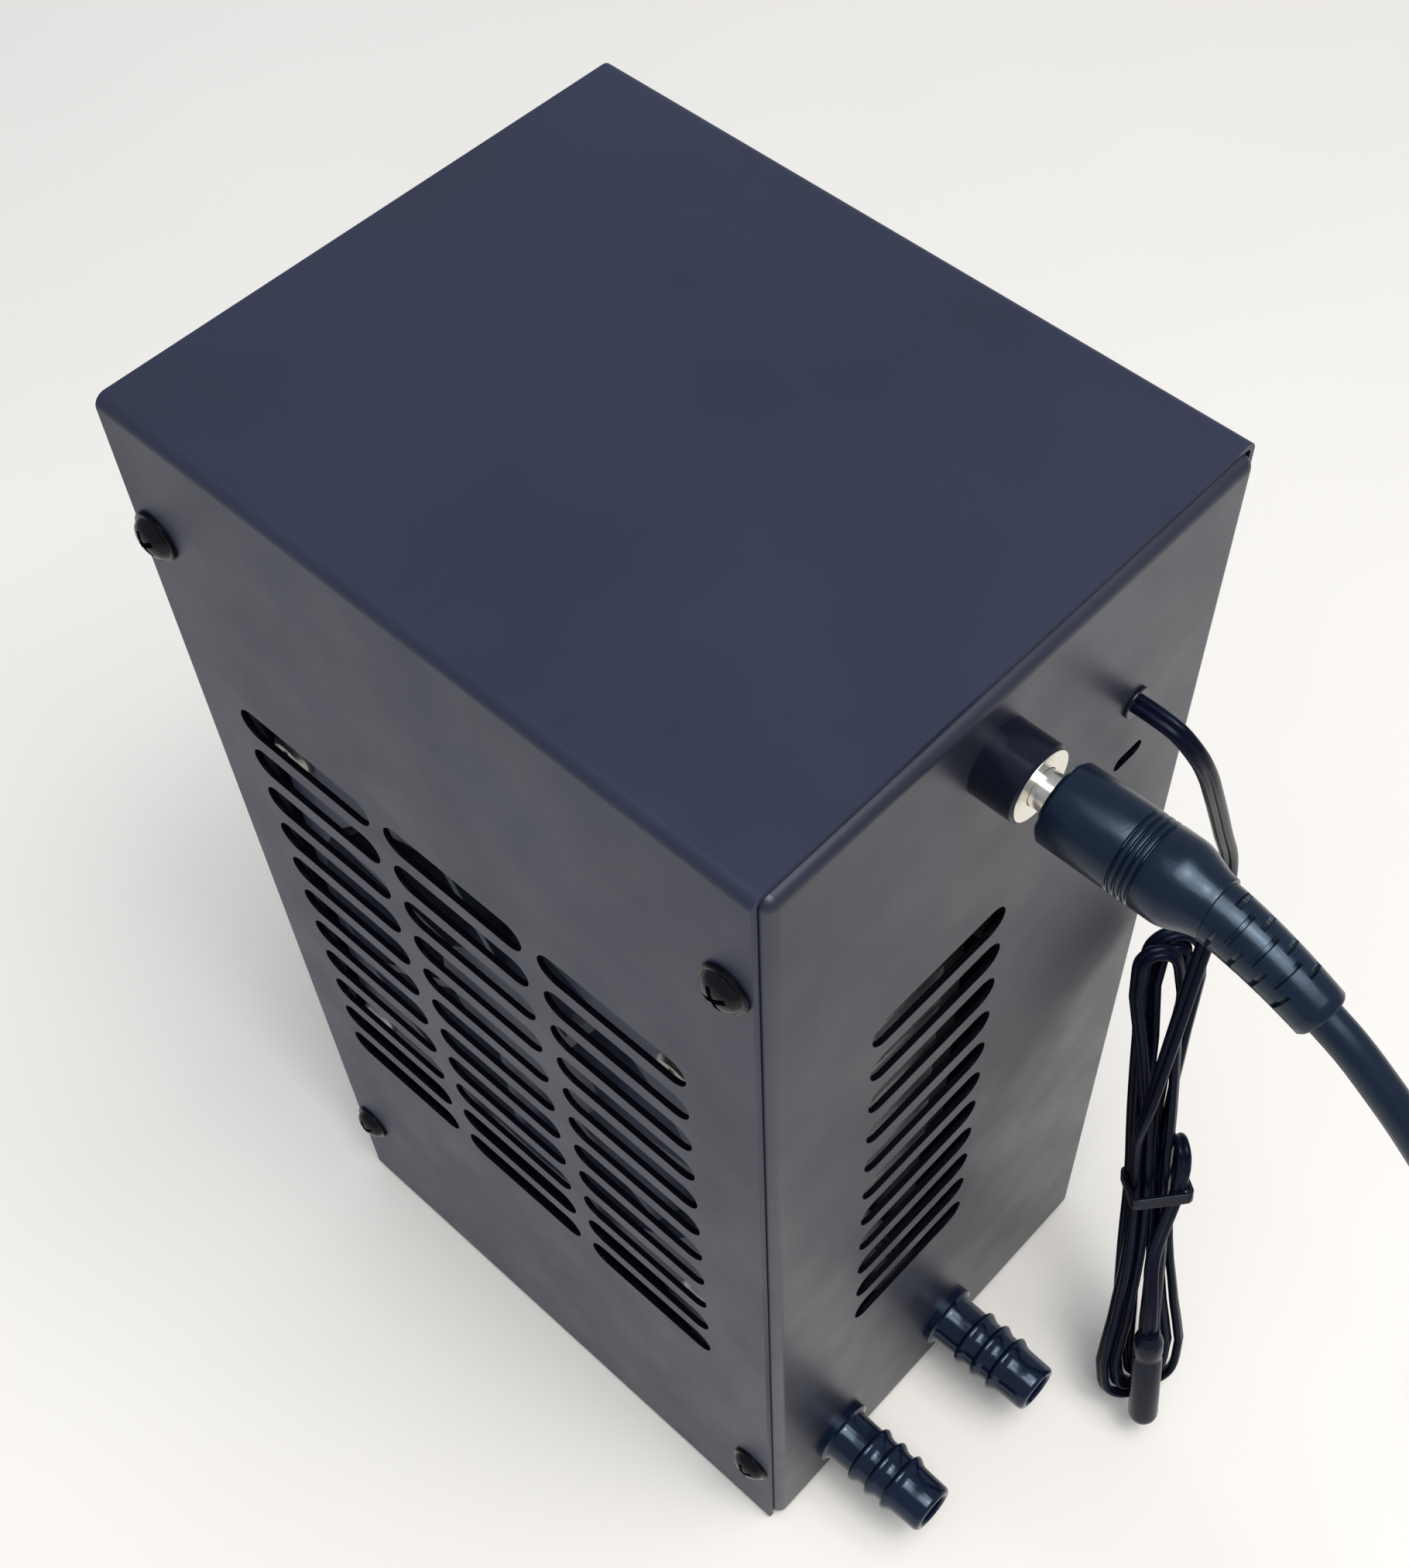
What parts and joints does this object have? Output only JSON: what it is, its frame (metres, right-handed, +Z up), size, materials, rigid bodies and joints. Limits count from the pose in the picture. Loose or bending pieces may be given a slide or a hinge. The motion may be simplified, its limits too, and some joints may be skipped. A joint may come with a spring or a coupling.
{
  "type": "aquarium chiller",
  "caption": "Upright louvred metal case with hose barbs, power jack and sensor cord, holding a fan, heat sink, thermoelectric module and water block.",
  "frame": {"origin": "under the middle of the case, on the surface that the feet stand on", "axes": "+Z up, -Y out of the front panel with the hose barbs and the power jack, -X out of the louvred side with the fan"},
  "size_m": [0.1231, 0.3168, 0.23],
  "materials": {
    "top_paint": "satin",
    "side_paint": "satin",
    "dark_steel": "satin",
    "rubber": "matte",
    "black_gloss": "gloss",
    "nickel": "gloss",
    "barb_plastic": "gloss",
    "black_plastic": "matte",
    "silicone": "satin",
    "steel": "satin",
    "copper": "satin",
    "aluminium": "satin",
    "ceramic": "matte",
    "digit_red": "gloss",
    "foam": "matte",
    "board": "satin",
    "lens": "gloss",
    "button_grey": "matte",
    "relay_blue": "gloss",
    "terminal_green": "matte",
    "wire_red": "satin",
    "wire_black": "satin",
    "cord_black": "satin",
    "plug_black": "satin",
    "lead_black": "satin"
  },
  "bodies": {
    "case": {"cover": "top_paint", "chassis": "side_paint", "cover_screws": "dark_steel", "rubber_feet": "rubber", "jack_housing": "black_gloss", "jack_sleeve": "nickel", "jack_pin": "nickel", "jack_nut": "nickel", "inlet_barb": "barb_plastic", "outlet_barb": "barb_plastic", "barb_nuts": "black_plastic", "barb_seals": "rubber", "inlet_hose": "silicone", "outlet_hose": "silicone", "hose_clips": "steel", "fan_frame": "black_plastic", "fan_stator": "copper", "fan_screws": "steel", "heatsink": "aluminium", "sink_stand": "steel", "stand_screws": "steel", "peltier_module": "ceramic", "module_gasket": "foam", "water_block": "aluminium", "block_insulation": "foam", "clamp_bars": "aluminium", "clamp_screws": "steel", "thermostat_case": "black_plastic", "thermostat_back": "black_plastic", "thermostat_board": "board", "display_lens": "lens", "display_digits": "digit_red", "tact_switches": "steel", "relay": "relay_blue", "terminal_block": "terminal_green", "power_wires": "wire_red", "module_wires": "wire_red", "fan_wires": "wire_black", "probe_grommet": "black_gloss", "probe_lead_inner": "cord_black", "probe_cord": "cord_black", "probe_hank": "cord_black", "probe_tie": "black_gloss", "probe_tip": "black_gloss"},
    "rotor": {"fan_rotor": "black_plastic", "fan_shaft": "steel"},
    "up_button": {"button_up": "button_grey"},
    "down_button": {"button_down": "button_grey"},
    "plug": {"plug_body": "plug_black", "plug_barrel": "nickel", "lead_cord": "lead_black", "lead_coil": "lead_black", "lead_socket": "plug_black"}
  },
  "joints": [
    {"name": "fan_spin", "type": "hinge", "parent": "case", "child": "rotor", "pos_m": [-0.03, 0.0015, 0.121], "axis": [1, 0, 0], "continuous": true},
    {"name": "up_press", "type": "slide", "parent": "case", "child": "up_button", "axis": [0, -1, 0], "range_m": [0, 0.0008], "stiffness_N_per_m": 300},
    {"name": "down_press", "type": "slide", "parent": "case", "child": "down_button", "axis": [0, -1, 0], "range_m": [0, 0.0008], "stiffness_N_per_m": 300},
    {"name": "plug_slide", "type": "slide", "parent": "case", "child": "plug", "axis": [0, -1, 0], "range_m": [-0.0029, 0.0085]}
  ]
}
